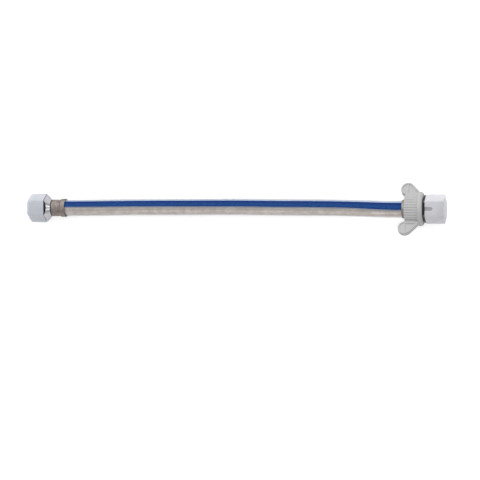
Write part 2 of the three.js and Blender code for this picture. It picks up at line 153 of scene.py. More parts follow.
def pipe_piece(name, line, outer_radius, inner_radius, sides):
    """A pipe with its bore, as one closed ring of wall."""
    angle = np.linspace(0, 2 * math.pi, sides, endpoint=False)
    steps = len(line["points"])
    shells = []
    for radius in (outer_radius, inner_radius):
        shells.append(on_line(line, np.tile(angle, (steps, 1)), np.full((steps, sides), radius)))
    points = np.concatenate(shells).reshape(-1, 3)
    outer, inner = np.arange(2 * steps * sides).reshape(2, steps, sides)
    faces = []
    for ring, flip in ((outer, False), (inner, True)):
        ahead = np.roll(ring, -1, axis=1)
        quads = np.stack([ring[:-1], ahead[:-1], ahead[1:], ring[1:]], axis=-1).reshape(-1, 4)
        faces += (quads[:, ::-1] if flip else quads).tolist()
    for end, flip in ((0, True), (-1, False)):
        out, into = outer[end], inner[end]
        quads = np.stack([out, np.roll(out, -1), np.roll(into, -1), into], axis=-1)
        faces += (quads[:, ::-1] if flip else quads).tolist()
    mesh = bpy.data.meshes.new(name)
    mesh.from_pydata(points.tolist(), [], faces)
    mesh.shade_smooth()
    piece = bpy.data.objects.new(name, mesh)
    bpy.context.collection.objects.link(piece)
    return piece


def seen_colour(red, green, blue):
    """A colour written as it looks, 0 to 255, as the shader's own values."""
    linear = []
    for value in (red / 255, green / 255, blue / 255):
        linear.append(value / 12.92 if value <= 0.04045 else ((value + 0.055) / 1.055) ** 2.4)
    return (*linear, 1)


def start_finish(name, colour, roughness, metallic=0):
    """A material with its own colour, roughness and metal, and its nodes to build on."""
    material = bpy.data.materials.new(name)
    material.use_nodes = True
    nodes, links = material.node_tree.nodes, material.node_tree.links
    shader = nodes["Principled BSDF"]
    shader.inputs["Base Color"].default_value = colour
    shader.inputs["Roughness"].default_value = roughness
    shader.inputs["Metallic"].default_value = metallic
    return material, shader, nodes, links


def dress(piece, material):
    piece.data.materials.clear()
    piece.data.materials.append(material)


def mottled_group():
    """Soft patches of two colours and two roughnesses, with a fine grain as a height."""
    group = bpy.data.node_groups.new("mottled_surface", "ShaderNodeTree")
    face = group.interface
    face.new_socket("Patch Scale", in_out="INPUT", socket_type="NodeSocketFloat")
    face.new_socket("Grain Scale", in_out="INPUT", socket_type="NodeSocketFloat")
    face.new_socket("Colour A", in_out="INPUT", socket_type="NodeSocketColor")
    face.new_socket("Colour B", in_out="INPUT", socket_type="NodeSocketColor")
    face.new_socket("Roughness A", in_out="INPUT", socket_type="NodeSocketFloat")
    face.new_socket("Roughness B", in_out="INPUT", socket_type="NodeSocketFloat")
    face.new_socket("Colour", in_out="OUTPUT", socket_type="NodeSocketColor")
    face.new_socket("Roughness", in_out="OUTPUT", socket_type="NodeSocketFloat")
    face.new_socket("Height", in_out="OUTPUT", socket_type="NodeSocketFloat")
    nodes, links = group.nodes, group.links
    inputs, outputs = nodes.new("NodeGroupInput"), nodes.new("NodeGroupOutput")
    place = nodes.new("ShaderNodeTexCoord")
    patches = nodes.new("ShaderNodeTexNoise")
    patches.inputs["Detail"].default_value = 3
    grain = nodes.new("ShaderNodeTexNoise")
    grain.inputs["Detail"].default_value = 2
    spread = nodes.new("ShaderNodeMapRange")
    spread.inputs["From Min"].default_value = 0.35
    spread.inputs["From Max"].default_value = 0.65
    tint = nodes.new("ShaderNodeMix")
    tint.data_type = "RGBA"
    rough = nodes.new("ShaderNodeMix")
    for noise, scale in ((patches, "Patch Scale"), (grain, "Grain Scale")):
        links.new(place.outputs["Object"], noise.inputs["Vector"])
        links.new(inputs.outputs[scale], noise.inputs["Scale"])
    links.new(patches.outputs["Fac"], spread.inputs["Value"])
    links.new(spread.outputs["Result"], tint.inputs["Factor"])
    links.new(inputs.outputs["Colour A"], tint.inputs["A"])
    links.new(inputs.outputs["Colour B"], tint.inputs["B"])
    links.new(spread.outputs["Result"], rough.inputs["Factor"])
    links.new(inputs.outputs["Roughness A"], rough.inputs["A"])
    links.new(inputs.outputs["Roughness B"], rough.inputs["B"])
    links.new(tint.outputs["Result"], outputs.inputs["Colour"])
    links.new(rough.outputs["Result"], outputs.inputs["Roughness"])
    links.new(grain.outputs["Fac"], outputs.inputs["Height"])
    return group


mottled = mottled_group()


def add_mottle(nodes, links, shader, patch, grain, colours, roughnesses, bump):
    """Puts the mottled surface into a material: patch and grain sizes in metres."""
    group = nodes.new("ShaderNodeGroup")
    group.node_tree = mottled
    group.inputs["Patch Scale"].default_value = 1 / patch
    group.inputs["Grain Scale"].default_value = 1 / grain
    group.inputs["Colour A"].default_value = colours[0]
    group.inputs["Colour B"].default_value = colours[1]
    group.inputs["Roughness A"].default_value = roughnesses[0]
    group.inputs["Roughness B"].default_value = roughnesses[1]
    relief = nodes.new("ShaderNodeBump")
    relief.inputs["Distance"].default_value = bump
    links.new(group.outputs["Colour"], shader.inputs["Base Color"])
    links.new(group.outputs["Roughness"], shader.inputs["Roughness"])
    links.new(group.outputs["Height"], relief.inputs["Height"])
    links.new(relief.outputs["Normal"], shader.inputs["Normal"])
    return group


tube_radius = 7.1 * mm
tube_bore = 6 * mm

inner_tube = pipe_piece("hose_liner", node_line("inner_tube", 3 * mm), tube_radius, tube_bore, 48)
rubber, shader, nodes, links = start_finish("liner_rubber", seen_colour(196, 190, 180), 0.7)
add_mottle(
    nodes, links, shader, 9 * mm, 0.3 * mm,
    (seen_colour(196, 190, 180), seen_colour(176, 170, 160)), (0.65, 0.8), 0.05 * mm,
)
dress(inner_tube, rubber)
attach(inner_tube, "hose")
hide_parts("inner_tube")


# Wire braid
# Twelve flat bands of four steel wires wind round the liner each way, two over and two
# under, woven on a machine over the running hose and held by the ferrules at both ends.
BANDS = 12
WIRES = 4
braid_radius = 7.36 * mm
braid_lead = 33 * mm  # length of hose for one turn of a band
braid_wave = 0.11 * mm  # how far a band rises and sinks at the crossings
wire_bulge = 0.09 * mm
band_back = 0.06 * mm
BAND_SHARE = 0.92  # of the room between two bands
braid_step = 0.7 * mm


def braid_piece(name, turn):
    """All the bands that wind one way: turn is 1 or -1."""
    line = node_line("wire_braid", braid_step)
    steps = len(line["at"])
    pitch = 2 * math.pi / BANDS
    across = np.linspace(-0.5, 0.5, 2 * WIRES + 1)
    bulge = np.where(np.arange(len(across)) % 2 == 1, wire_bulge, 0)
    across = np.concatenate([across, (0.5, -0.5)]) * pitch * BAND_SHARE
    bulge = np.concatenate([bulge, (-band_back, -band_back)])
    along = 2 * math.pi * line["at"][:, None] / braid_lead
    points, faces = [], []
    for band in range(BANDS):
        angle = band * pitch + turn * along + across
        crossed = BANDS * (angle + turn * along) / (2 * math.pi)
        wave = np.cos(math.pi / 2 * (band + crossed - 0.5))
        lift = turn * braid_wave * np.clip(1.5 * wave, -1, 1)
        rows = on_line(line, angle, braid_radius + lift + bulge)
        index = np.arange(rows.shape[0] * rows.shape[1]).reshape(rows.shape[:2])
        index += band * rows.shape[0] * rows.shape[1]
        ahead = np.roll(index, -1, axis=1)
        quads = np.stack([index[:-1], ahead[:-1], ahead[1:], index[1:]], axis=-1)
        points.append(rows.reshape(-1, 3))
        faces += quads.reshape(-1, 4).tolist() + [tuple(index[0][::-1]), tuple(index[-1])]
    mesh = bpy.data.meshes.new(name)
    mesh.from_pydata(np.concatenate(points).tolist(), [], faces)
    mesh.shade_smooth()
    piece = bpy.data.objects.new(name, mesh)
    bpy.context.collection.objects.link(piece)
    return piece


braid_wire, shader, nodes, links = start_finish("braid_wire", seen_colour(222, 214, 208), 0.38, 1)
add_mottle(
    nodes, links, shader, 6 * mm, 0.25 * mm,
    (seen_colour(219, 212, 207), seen_colour(204, 195, 190)), (0.4, 0.5), 0.01 * mm,
)
for name, turn in (("braid_right_lay", 1), ("braid_left_lay", -1)):
    braid = braid_piece(name, turn)
    dress(braid, braid_wire)
    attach(braid, "hose")
    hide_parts("wire_braid")


# Blue stripe
# One strip of woven blue tape, laid straight along the braid before the cover goes on. It
# is darker blue towards its edges, and its pale edges are painted refraction of its blue in
# the clear cover; its weave shows as fine cross ribs.
stripe_turns = {  # its two edges from straight up, towards +Y, at four places
    "x": (-170 * mm, -10 * mm, 120 * mm, 165 * mm),
    "inner_edge": np.radians((-1, -6, -7, -15)),
    "outer_edge": np.radians((64, 62, 63, 64)),
}
stripe_bottom = 7.66 * mm
stripe_top = 7.86 * mm
rib_pitch = 0.9 * mm
rib_height = 0.05 * mm
stripe_step = 0.225 * mm
STRIPE_COLUMNS = 8

line = node_line("blue_stripe", stripe_step)
x = line["points"][:, 0]
inner_edge = np.interp(x, stripe_turns["x"], stripe_turns["inner_edge"])
outer_edge = np.interp(x, stripe_turns["x"], stripe_turns["outer_edge"])
shares = np.linspace(0, 1, STRIPE_COLUMNS + 1)
columns = inner_edge[:, None] + (outer_edge - inner_edge)[:, None] * shares
ribs = np.cos(2 * math.pi * line["at"] / rib_pitch)[:, None] * rib_height / 2
crown = np.sin(math.pi * shares.clip(0, 1 - 1e-9)) ** 0.4
top = stripe_top - rib_height / 2 + ribs * crown
steps = len(line["at"])
angle = np.concatenate([columns, columns[:, ::-1]], axis=1)
radius = np.concatenate([top, np.full((steps, STRIPE_COLUMNS + 1), stripe_bottom)], axis=1)
blue_stripe = tube_piece("woven_blue_stripe", on_line(line, angle, radius))

place_on_stripe = blue_stripe.data.uv_layers.new(name="along_and_across")
corner_points = np.empty(len(blue_stripe.data.loops), dtype=np.int32)
blue_stripe.data.loops.foreach_get("vertex_index", corner_points)
row, column = np.divmod(corner_points, 2 * (STRIPE_COLUMNS + 1))
across = np.where(column <= STRIPE_COLUMNS, column, 2 * STRIPE_COLUMNS + 1 - column)
corner_places = np.stack([line["at"][row] / rib_pitch, across / STRIPE_COLUMNS], axis=1)
place_on_stripe.data.foreach_set("uv", corner_places.astype(np.float32).ravel())

blue_tape, shader, nodes, links = start_finish("blue_tape", seen_colour(14, 66, 134), 0.6)
shader.inputs["Specular IOR Level"].default_value = 0.12
place = nodes.new("ShaderNodeUVMap")
place.uv_map = "along_and_across"
split = nodes.new("ShaderNodeSeparateXYZ")
edges = nodes.new("ShaderNodeValToRGB")
# The pale colours at both ends of this ramp are painted refraction of the blue in the cover.
edges.color_ramp.elements[0].color = seen_colour(158, 166, 190)
edges.color_ramp.elements[1].color = seen_colour(196, 210, 236)
for position, colour in (
    (0.1, (146, 156, 182)),
    (0.13, (6, 44, 96)),
    (0.24, (12, 70, 138)),
    (0.5, (10, 62, 132)),
    (0.72, (7, 44, 112)),
    (0.83, (8, 42, 102)),
    (0.87, (158, 186, 226)),
):
    edges.color_ramp.elements.new(position).color = seen_colour(*colour)
threads = nodes.new("ShaderNodeTexNoise")
threads.inputs["Scale"].default_value = 1 / (2.5 * mm)
threads.inputs["Detail"].default_value = 2
object_place = nodes.new("ShaderNodeTexCoord")
shade = nodes.new("ShaderNodeMapRange")
shade.inputs["From Min"].default_value = 0.3
shade.inputs["From Max"].default_value = 0.7
shade.inputs["To Min"].default_value = 0.86
shade.inputs["To Max"].default_value = 1.12
tone = nodes.new("ShaderNodeVectorMath")
tone.operation = "SCALE"
links.new(place.outputs["UV"], split.inputs["Vector"])
links.new(split.outputs["Y"], edges.inputs["Fac"])
links.new(object_place.outputs["Object"], threads.inputs["Vector"])
links.new(threads.outputs["Fac"], shade.inputs["Value"])
links.new(edges.outputs["Color"], tone.inputs["Vector"])
links.new(shade.outputs["Result"], tone.inputs["Scale"])
links.new(tone.outputs["Vector"], shader.inputs["Base Color"])
dress(blue_stripe, blue_tape)
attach(blue_stripe, "hose")
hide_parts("blue_stripe")


# Clear cover
# A sleeve of clear soft plastic, extruded over braid and stripe, that reaches a little way
# into the bell of each ferrule. It is the outside of the hose.
cover_radius = 8.6 * mm
cover_bore = 8 * mm

cover_line = node_line("clear_cover", 2.5 * mm)
clear_cover = pipe_piece("clear_cover_sleeve", cover_line, cover_radius, cover_bore, 64)
clear_plastic, shader, nodes, links = start_finish("clear_cover", seen_colour(226, 226, 226), 0.12)
rim_light = nodes.new("ShaderNodeLayerWeight")
rim_light.inputs["Blend"].default_value = 0.1
cloud = nodes.new("ShaderNodeMapRange")
cloud.inputs["From Min"].default_value = 0.08
cloud.inputs["From Max"].default_value = 0.4
cloud.inputs["To Min"].default_value = 0.006
cloud.inputs["To Max"].default_value = 0.55
# Towards +Y, beside the stripe, the plastic is painted pale blue: a painted refraction of the
# stripe.
faces_way = nodes.new("ShaderNodeNewGeometry")
way = nodes.new("ShaderNodeSeparateXYZ")
near_stripe = nodes.new("ShaderNodeMapRange")
near_stripe.inputs["From Min"].default_value = 0.1
near_stripe.inputs["From Max"].default_value = 0.6
glow = nodes.new("ShaderNodeMix")
glow.data_type = "RGBA"
glow.inputs["A"].default_value = seen_colour(226, 226, 226)
glow.inputs["B"].default_value = seen_colour(186, 206, 236)
links.new(faces_way.outputs["Normal"], way.inputs["Vector"])
links.new(way.outputs["Y"], near_stripe.inputs["Value"])
links.new(near_stripe.outputs["Result"], glow.inputs["Factor"])
links.new(glow.outputs["Result"], shader.inputs["Base Color"])
ripple = nodes.new("ShaderNodeTexNoise")
ripple.inputs["Scale"].default_value = 1 / (4 * mm)
ripple_place = nodes.new("ShaderNodeTexCoord")
relief = nodes.new("ShaderNodeBump")
relief.inputs["Distance"].default_value = 0.08 * mm
links.new(rim_light.outputs["Facing"], cloud.inputs["Value"])
links.new(cloud.outputs["Result"], shader.inputs["Alpha"])
links.new(ripple_place.outputs["Object"], ripple.inputs["Vector"])
links.new(ripple.outputs["Fac"], relief.inputs["Height"])
links.new(relief.outputs["Normal"], shader.inputs["Normal"])
dress(clear_cover, clear_plastic)
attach(clear_cover, "hose")
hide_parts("clear_cover")


# Tails
# Each end has a brass tail, turned from bar: a flange for the gasket, a neck that the nut
# turns on, and barbs that the hose is pushed over. The bore is the waterway.
def seal_point(node, outermost):
    """The middle of a gasket's outer face, from the CAD gasket."""
    low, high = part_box(node)
    return Vector((outermost(low[0], high[0]), (low[1] + high[1]) / 2, (low[2] + high[2]) / 2))


plain_seal = seal_point("plain_end_gasket", min)
wing_seal = seal_point("wing_end_gasket", max)
TURNED_SIDES = 96


def turn_piece(name, profile, sides=TURNED_SIDES):
    """A ring turned about X: one circle, extruded from point to point of the closed profile."""
    bpy.ops.object.select_all(action="DESELECT")
    along, radius = profile[0]
    bpy.ops.mesh.primitive_circle_add(
        vertices=sides, radius=radius, location=(along, 0, 0), rotation=(0, math.pi / 2, 0)
    )
    piece = bpy.context.object
    bpy.ops.object.transform_apply(location=True, rotation=True)
    bpy.ops.object.mode_set(mode="EDIT")
    bpy.ops.mesh.select_all(action="SELECT")
    for next_along, next_radius in [*profile[1:], profile[0]]:
        bpy.ops.mesh.extrude_region_move(
            TRANSFORM_OT_translate={"value": (next_along - along, 0, 0)}
        )
        factor = next_radius / radius
        bpy.ops.transform.resize(
            value=(1, factor, factor), center_override=(next_along, 0, 0)
        )
        along, radius = next_along, next_radius
    close_skin()
    bpy.ops.object.mode_set(mode="OBJECT")
    piece.name = piece.data.name = name
    return piece


def close_skin():
    """In edit mode: joins what meets and turns every face outwards."""
    bpy.ops.mesh.select_all(action="SELECT")
    bpy.ops.mesh.remove_doubles(threshold=0.001 * mm)
    bpy.ops.mesh.normals_make_consistent(inside=False)


def smooth(piece, angle=math.radians(35)):
    bpy.ops.object.select_all(action="DESELECT")
    piece.select_set(True)
    bpy.context.view_layer.objects.active = piece
    bpy.ops.object.shade_smooth_by_angle(angle=angle)


def soften(piece, width, segments=2, angle=math.radians(35)):
    """Rounds every edge sharper than the angle."""
    bpy.ops.object.select_all(action="DESELECT")
    piece.select_set(True)
    bpy.context.view_layer.objects.active = piece
    bevel = piece.modifiers.new("rounded_edges", "BEVEL")
    bevel.width = width
    bevel.segments = segments
    bevel.limit_method = "ANGLE"
    bevel.angle_limit = angle
    bpy.ops.object.modifier_apply(modifier=bevel.name)


def cut(piece, tool, how="DIFFERENCE"):
    """Cuts a piece with a tool, joins the tool to it or keeps what both hold."""
    bpy.ops.object.select_all(action="DESELECT")
    piece.select_set(True)
    bpy.context.view_layer.objects.active = piece
    boolean = piece.modifiers.new("cut", "BOOLEAN")
    boolean.operation = how
    boolean.solver = "EXACT"
    boolean.object = tool
    bpy.ops.object.modifier_apply(modifier=boolean.name)
    bpy.data.objects.remove(tool)


at_plain_end = Matrix.Translation(plain_seal) @ Matrix.Rotation(math.pi, 4, "Z")
at_wing_end = Matrix.Translation(wing_seal)


def both_ends(piece, name):
    """The piece at the plain end, and a copy of its own mesh at the winged end."""
    copy = piece.copy()
    copy.data = piece.data.copy()
    bpy.context.collection.objects.link(copy)
    piece.data.transform(at_plain_end)
    copy.data.transform(at_wing_end)
    for made, end in ((piece, "plain_end_"), (copy, "wing_end_")):
        made.name = made.data.name = end + name
    return piece, copy


tail_end = -26.4 * mm
hose_start = -14.2 * mm
nut_seat = -5.8 * mm
flange_front = -2.8 * mm
flange_back = -5.5 * mm
flange_radius = 9.1 * mm
neck_radius = 6.2 * mm
waterway_radius = 4.5 * mm
barb_radius = 5.65 * mm
barb_root = 5.25 * mm
barb_pitch = 3 * mm
BARBS = 4

profile = []
for barb in range(BARBS):
    root = tail_end + barb * barb_pitch
    profile += [(root, barb_root), (root + 0.88 * barb_pitch, barb_radius)]
    profile += [(root + 0.94 * barb_pitch, barb_radius)]
profile += [
    (tail_end + BARBS * barb_pitch, barb_root),
    (hose_start, barb_root),
    (hose_start, neck_radius),
    (flange_back, neck_radius),
    (flange_back, flange_radius),
    (flange_front, flange_radius),
    (flange_front, waterway_radius),
    (tail_end, waterway_radius),
]
tail = turn_piece("tail", profile)
soften(tail, 0.15 * mm)
smooth(tail)
brass, shader, nodes, links = start_finish("turned_brass", seen_colour(212, 180, 120), 0.3, 1)
add_mottle(
    nodes, links, shader, 5 * mm, 0.2 * mm,
    (seen_colour(216, 186, 124), seen_colour(192, 158, 100)), (0.24, 0.4), 0.01 * mm,
)
for tail, node in zip(both_ends(tail, "brass_tail"), ("plain_end_tail", "wing_end_tail")):
    dress(tail, brass)
    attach(tail, "hose")
    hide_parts(node)


# Ferrules
# A steel sleeve crimped over each end of the hose: thin sheet, drawn to a cup, with one
# rolled groove and a mouth belled out over the end of the clear cover.
ferrule_mouth = -27.4 * mm
ferrule_front = -12.7 * mm
ferrule_radius = 8.5 * mm
ferrule_bore = 7.9 * mm
front_wall = 1.2 * mm
neck_hole = 6.5 * mm
bell_radius = 9.3 * mm
bell_bore = 8.75 * mm
bell_length = 4 * mm
flare_length = 1.9 * mm
groove_centre = -20.1 * mm
groove_half_width = 1 * mm
groove_depth = 0.35 * mm
CURVE_STEPS = 8


def eased(start, end):
    """Points of a soft S from one point of a profile to another."""
    points = []
    for step in range(CURVE_STEPS + 1):
        share = step / CURVE_STEPS
        rise = (1 - math.cos(math.pi * share)) / 2
        points.append((
            start[0] + (end[0] - start[0]) * share,
            start[1] + (end[1] - start[1]) * rise,
        ))
    return points


bell_end = ferrule_mouth + bell_length
groove_floor = (groove_centre, ferrule_radius - groove_depth)
profile = [
    (ferrule_mouth, bell_radius),
    *eased((bell_end, bell_radius), (bell_end + flare_length, ferrule_radius)),
    *eased((groove_centre - groove_half_width, ferrule_radius), groove_floor),
    *eased(groove_floor, (groove_centre + groove_half_width, ferrule_radius))[1:],
    *eased((ferrule_front - 0.9 * mm, ferrule_radius), (ferrule_front, 7.7 * mm)),
    (ferrule_front, neck_hole),
    (ferrule_front - front_wall, neck_hole),
    (ferrule_front - front_wall, ferrule_bore),
    (bell_end, ferrule_bore),
    (bell_end, bell_bore),
    (ferrule_mouth, bell_bore),
]
ferrule = turn_piece("ferrule", profile)
soften(ferrule, 0.12 * mm)
smooth(ferrule)

sleeve_steel, shader, nodes, links = start_finish(
    "ferrule_steel", seen_colour(160, 152, 147), 0.45, 1
)
add_mottle(
    nodes, links, shader, 3 * mm, 0.15 * mm,
    (seen_colour(163, 155, 150), seen_colour(146, 135, 129)), (0.5, 0.64), 0.01 * mm,
)
for ferrule, node in zip(
    both_ends(ferrule, "crimped_sleeve"), ("plain_end_ferrule", "wing_end_ferrule")
):
    dress(ferrule, sleeve_steel)
    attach(ferrule, "hose")
    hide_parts(node)


# Gaskets
# A flat black rubber ring in front of each tail's flange. Its outer face is what the pipe
# stub presses on.
gasket_thickness = 2.5 * mm
gasket_radius = 9.2 * mm
gasket_hole = 5.2 * mm

gasket = turn_piece("gasket", [
    (-gasket_thickness, gasket_radius),
    (0, gasket_radius),
    (0, gasket_hole),
    (-gasket_thickness, gasket_hole),
])
soften(gasket, 0.35 * mm, segments=3)
smooth(gasket)
black_rubber, shader, nodes, links = start_finish("gasket_rubber", seen_colour(44, 44, 46), 0.75)
add_mottle(
    nodes, links, shader, 3 * mm, 0.2 * mm,
    (seen_colour(46, 46, 48), seen_colour(60, 59, 58)), (0.65, 0.85), 0.03 * mm,
)
for gasket, node in zip(
    both_ends(gasket, "rubber_gasket"), ("plain_end_gasket", "wing_end_gasket")
):
    dress(gasket, black_rubber)
    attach(gasket, "hose")
    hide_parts(node)


# Plain nut
# Forged brass, six-sided, bright plated, with a coned back that the tail's neck passes
# through. The front corners are chamfered, and a half-inch pipe thread runs inside.
half_flats = 12 * mm
hex_corner = half_flats / math.cos(math.pi / 6)
nut_back = -12.4 * mm
thread_root = 10.45 * mm
thread_crest = 9.4 * mm
thread_pitch = 1.814 * mm
thread_start = -1.6 * mm
lead_in = 1 * mm
lead_in_radius = 10.8 * mm
THREAD_STEPS = 72


def turned_bar(name, profile, sides=TURNED_SIDES):
    """A solid bar turned about X, its two ends filled."""
    bpy.ops.object.select_all(action="DESELECT")
    along, radius = profile[0]
    bpy.ops.mesh.primitive_circle_add(
        vertices=sides, radius=radius, location=(along, 0, 0),
        rotation=(0, math.pi / 2, 0), fill_type="NGON",
    )
    bar = bpy.context.object
    bpy.ops.object.transform_apply(location=True, rotation=True)
    bpy.ops.object.mode_set(mode="EDIT")
    bpy.ops.mesh.select_all(action="SELECT")
    for next_along, next_radius in profile[1:]:
        bpy.ops.mesh.extrude_region_move(
            TRANSFORM_OT_translate={"value": (next_along - along, 0, 0)}
        )
        factor = next_radius / radius
        bpy.ops.transform.resize(
            value=(1, factor, factor), center_override=(next_along, 0, 0)
        )
        along, radius = next_along, next_radius
    close_skin()
    bpy.ops.object.mode_set(mode="OBJECT")
    bar.name = bar.data.name = name
    return bar


def hex_bar(name, start, end, half_across_flats):
    """A six-sided bar along X with flats facing up and down."""
    bpy.ops.object.select_all(action="DESELECT")
    bpy.ops.mesh.primitive_cylinder_add(
        vertices=6,
        radius=half_across_flats / math.cos(math.pi / 6),
        depth=end - start,
        location=((start + end) / 2, 0, 0),
        rotation=(0, math.pi / 2, 0),
    )
    bpy.ops.object.transform_apply(location=True, rotation=True)
    bar = bpy.context.object
    bar.name = bar.data.name = name
    return bar


def thread_ridge(start, end):
    """The ridge of an inside pipe thread, wound along the bore from start to end."""
    bpy.ops.object.select_all(action="DESELECT")
    bpy.ops.mesh.primitive_circle_add(vertices=4, radius=thread_pitch / 2)
    ridge = bpy.context.object
    wall, crest = thread_root + 0.15 * mm, thread_crest
    half_foot, half_crest = 0.46 * thread_pitch, 0.08 * thread_pitch
    section = [(-half_foot, wall), (half_foot, wall), (half_crest, crest), (-half_crest, crest)]
    for vertex, (along, radius) in zip(ridge.data.vertices, section):
        vertex.co = (start + half_foot + along, 0, radius)
    winding = ridge.modifiers.new("winding", "SCREW")
    winding.axis = "X"
    winding.screw_offset = thread_pitch
    winding.iterations = int((end - start) / thread_pitch) - 1
    winding.steps = winding.render_steps = THREAD_STEPS
    winding.use_smooth_shade = True
    bpy.ops.object.modifier_apply(modifier=winding.name)
    bpy.ops.object.mode_set(mode="EDIT")
    bpy.ops.mesh.select_all(action="DESELECT")
    bpy.ops.mesh.select_mode(type="EDGE")
    bpy.ops.mesh.select_non_manifold()
    bpy.ops.mesh.fill()
    close_skin()
    bpy.ops.mesh.select_mode(type="VERT")
    bpy.ops.object.mode_set(mode="OBJECT")
    return ridge


def nut_bore(mouth):
    """The neck hole and the socket, as one bar to cut out of a nut."""
    return turned_bar("bore", [
        (nut_back - 2 * mm, neck_hole),
        (nut_seat, neck_hole),
        (nut_seat, 9.8 * mm),
        (thread_start - 0.6 * mm, 9.8 * mm),
        (thread_start, thread_root),
        (mouth - lead_in, thread_root),
        (mouth, lead_in_radius),
        (mouth + 2 * mm, lead_in_radius),
    ])


plain_nut_front = 8.4 * mm
face_radius = 11 * mm
front_chamfer = 2.4 * mm
cone_length = 4.9 * mm
cone_end_radius = 8.5 * mm

plain_nut = hex_bar("plain_hex_nut", nut_back, plain_nut_front, half_flats)
outline = turned_bar("outline", [
    (nut_back - 1e-6, cone_end_radius),
    (nut_back + cone_length, hex_corner + 0.02 * mm),
    (plain_nut_front - front_chamfer, hex_corner + 0.02 * mm),
    (plain_nut_front + 1e-6, face_radius),
])
cut(plain_nut, outline, "INTERSECT")
cut(plain_nut, nut_bore(plain_nut_front))
cut(plain_nut, thread_ridge(thread_start, plain_nut_front - lead_in / 2), "UNION")
plain_nut.data.transform(at_plain_end)
smooth(plain_nut, math.radians(25))

plating_colours = (seen_colour(206, 205, 210), seen_colour(190, 189, 195))
chrome, shader, nodes, links = start_finish("bright_plating", plating_colours[0], 0.08, 1)
add_mottle(
    nodes, links, shader, 7 * mm, 0.5 * mm, plating_colours, (0.05, 0.13), 0.002 * mm
)
dress(plain_nut, chrome)
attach(plain_nut, "plain_nut")
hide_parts("plain_nut")


# Winged nut
# A longer nut for turning by hand: six-sided, with a round collar at its mouth and a plain
# hub behind that the grip is pressed on. Plated and threaded as the other.
wing_nut_front = 12 * mm
collar_length = 2.4 * mm
collar_radius = 11.7 * mm
hex_chamfer = 1.1 * mm
hub_radius = 11 * mm
hex_back = -6.2 * mm

collar_start = wing_nut_front - collar_length
wing_nut = hex_bar("winged_hex_nut", hex_back, collar_start, half_flats)
outline = turned_bar("outline", [
    (hex_back - 1e-6, half_flats),
    (hex_back + hex_chamfer, hex_corner + 0.02 * mm),
    (collar_start - hex_chamfer, hex_corner + 0.02 * mm),
    (collar_start + 1e-6, half_flats),
])
cut(wing_nut, outline, "INTERSECT")
hub = turned_bar("hub", [(nut_back, hub_radius), (hex_back + 1 * mm, hub_radius)])
cut(wing_nut, hub, "UNION")
collar = turned_bar("collar", [
    (collar_start - 1 * mm, collar_radius),
    (wing_nut_front - 0.4 * mm, collar_radius),
    (wing_nut_front, collar_radius - 0.4 * mm),
])
cut(wing_nut, collar, "UNION")
cut(wing_nut, nut_bore(wing_nut_front))
cut(wing_nut, thread_ridge(thread_start, wing_nut_front - lead_in / 2), "UNION")
wing_nut.data.transform(at_wing_end)
smooth(wing_nut, math.radians(25))

# The flats in the corner by the grip's rim are painted dark as shade, less so towards the hex
# corners, and the collar, from its start to the mouth, is tinted a darker blue-grey.
dark_until = wing_seal.x - 3.6 * mm
dark_radius = 13.8 * mm
dark_fade = 0.6 * mm
corner_tone = 0.55
collar_tint_from = wing_seal.x + collar_start
collar_tint_fade = 0.2 * mm
# This plating carries painted shade on the flats in the corner by the grip's rim.
painted_shade_chrome, shader, nodes, links = start_finish("plating_with_painted_shade", plating_colours[0], 0.08, 1)
group = add_mottle(
    nodes, links, shader, 7 * mm, 0.5 * mm, plating_colours, (0.05, 0.13), 0.002 * mm
)
place = nodes.new("ShaderNodeTexCoord")
split = nodes.new("ShaderNodeSeparateXYZ")
from_axis = nodes.new("ShaderNodeVectorMath")
from_axis.operation = "SUBTRACT"
from_axis.inputs[1].default_value = wing_seal
across_axis = nodes.new("ShaderNodeVectorMath")
across_axis.operation = "MULTIPLY"
across_axis.inputs[1].default_value = (0, 1, 1)
reach = nodes.new("ShaderNodeVectorMath")
reach.operation = "LENGTH"
by_rim = nodes.new("ShaderNodeMapRange")
by_rim.inputs["From Min"].default_value = dark_until
by_rim.inputs["From Max"].default_value = dark_until - dark_fade
on_flats = nodes.new("ShaderNodeMapRange")
on_flats.inputs["From Min"].default_value = dark_radius
on_flats.inputs["From Max"].default_value = dark_radius - dark_fade
on_flats.inputs["To Min"].default_value = corner_tone
on_collar = nodes.new("ShaderNodeMapRange")
on_collar.inputs["From Min"].default_value = collar_tint_from
on_collar.inputs["From Max"].default_value = collar_tint_from + collar_tint_fade
dark = nodes.new("ShaderNodeMath")
dark.operation = "MULTIPLY"
painted_shade_mix = nodes.new("ShaderNodeMix")
painted_shade_mix.data_type = "RGBA"
# Painted shade: the colour of the flats in the corner by the rim.
painted_shade_mix.inputs["B"].default_value = seen_colour(62, 58, 62)
# The collar is tinted a darker blue-grey from its start to the mouth.
bluer = nodes.new("ShaderNodeMix")
bluer.data_type = "RGBA"
bluer.inputs["B"].default_value = seen_colour(96, 104, 120)
links.new(place.outputs["Object"], split.inputs["Vector"])
links.new(place.outputs["Object"], from_axis.inputs[0])
links.new(from_axis.outputs["Vector"], across_axis.inputs[0])
links.new(across_axis.outputs["Vector"], reach.inputs[0])
links.new(split.outputs["X"], by_rim.inputs["Value"])
links.new(split.outputs["X"], on_collar.inputs["Value"])
links.new(reach.outputs["Value"], on_flats.inputs["Value"])
links.new(by_rim.outputs["Result"], dark.inputs[0])
links.new(on_flats.outputs["Result"], dark.inputs[1])
links.new(dark.outputs["Value"], painted_shade_mix.inputs["Factor"])
links.new(group.outputs["Colour"], painted_shade_mix.inputs["A"])
links.new(on_collar.outputs["Result"], bluer.inputs["Factor"])
links.new(painted_shade_mix.outputs["Result"], bluer.inputs["A"])
links.new(bluer.outputs["Result"], shader.inputs["Base Color"])
dress(wing_nut, painted_shade_chrome)
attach(wing_nut, "winged_nut")
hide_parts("wing_nut")


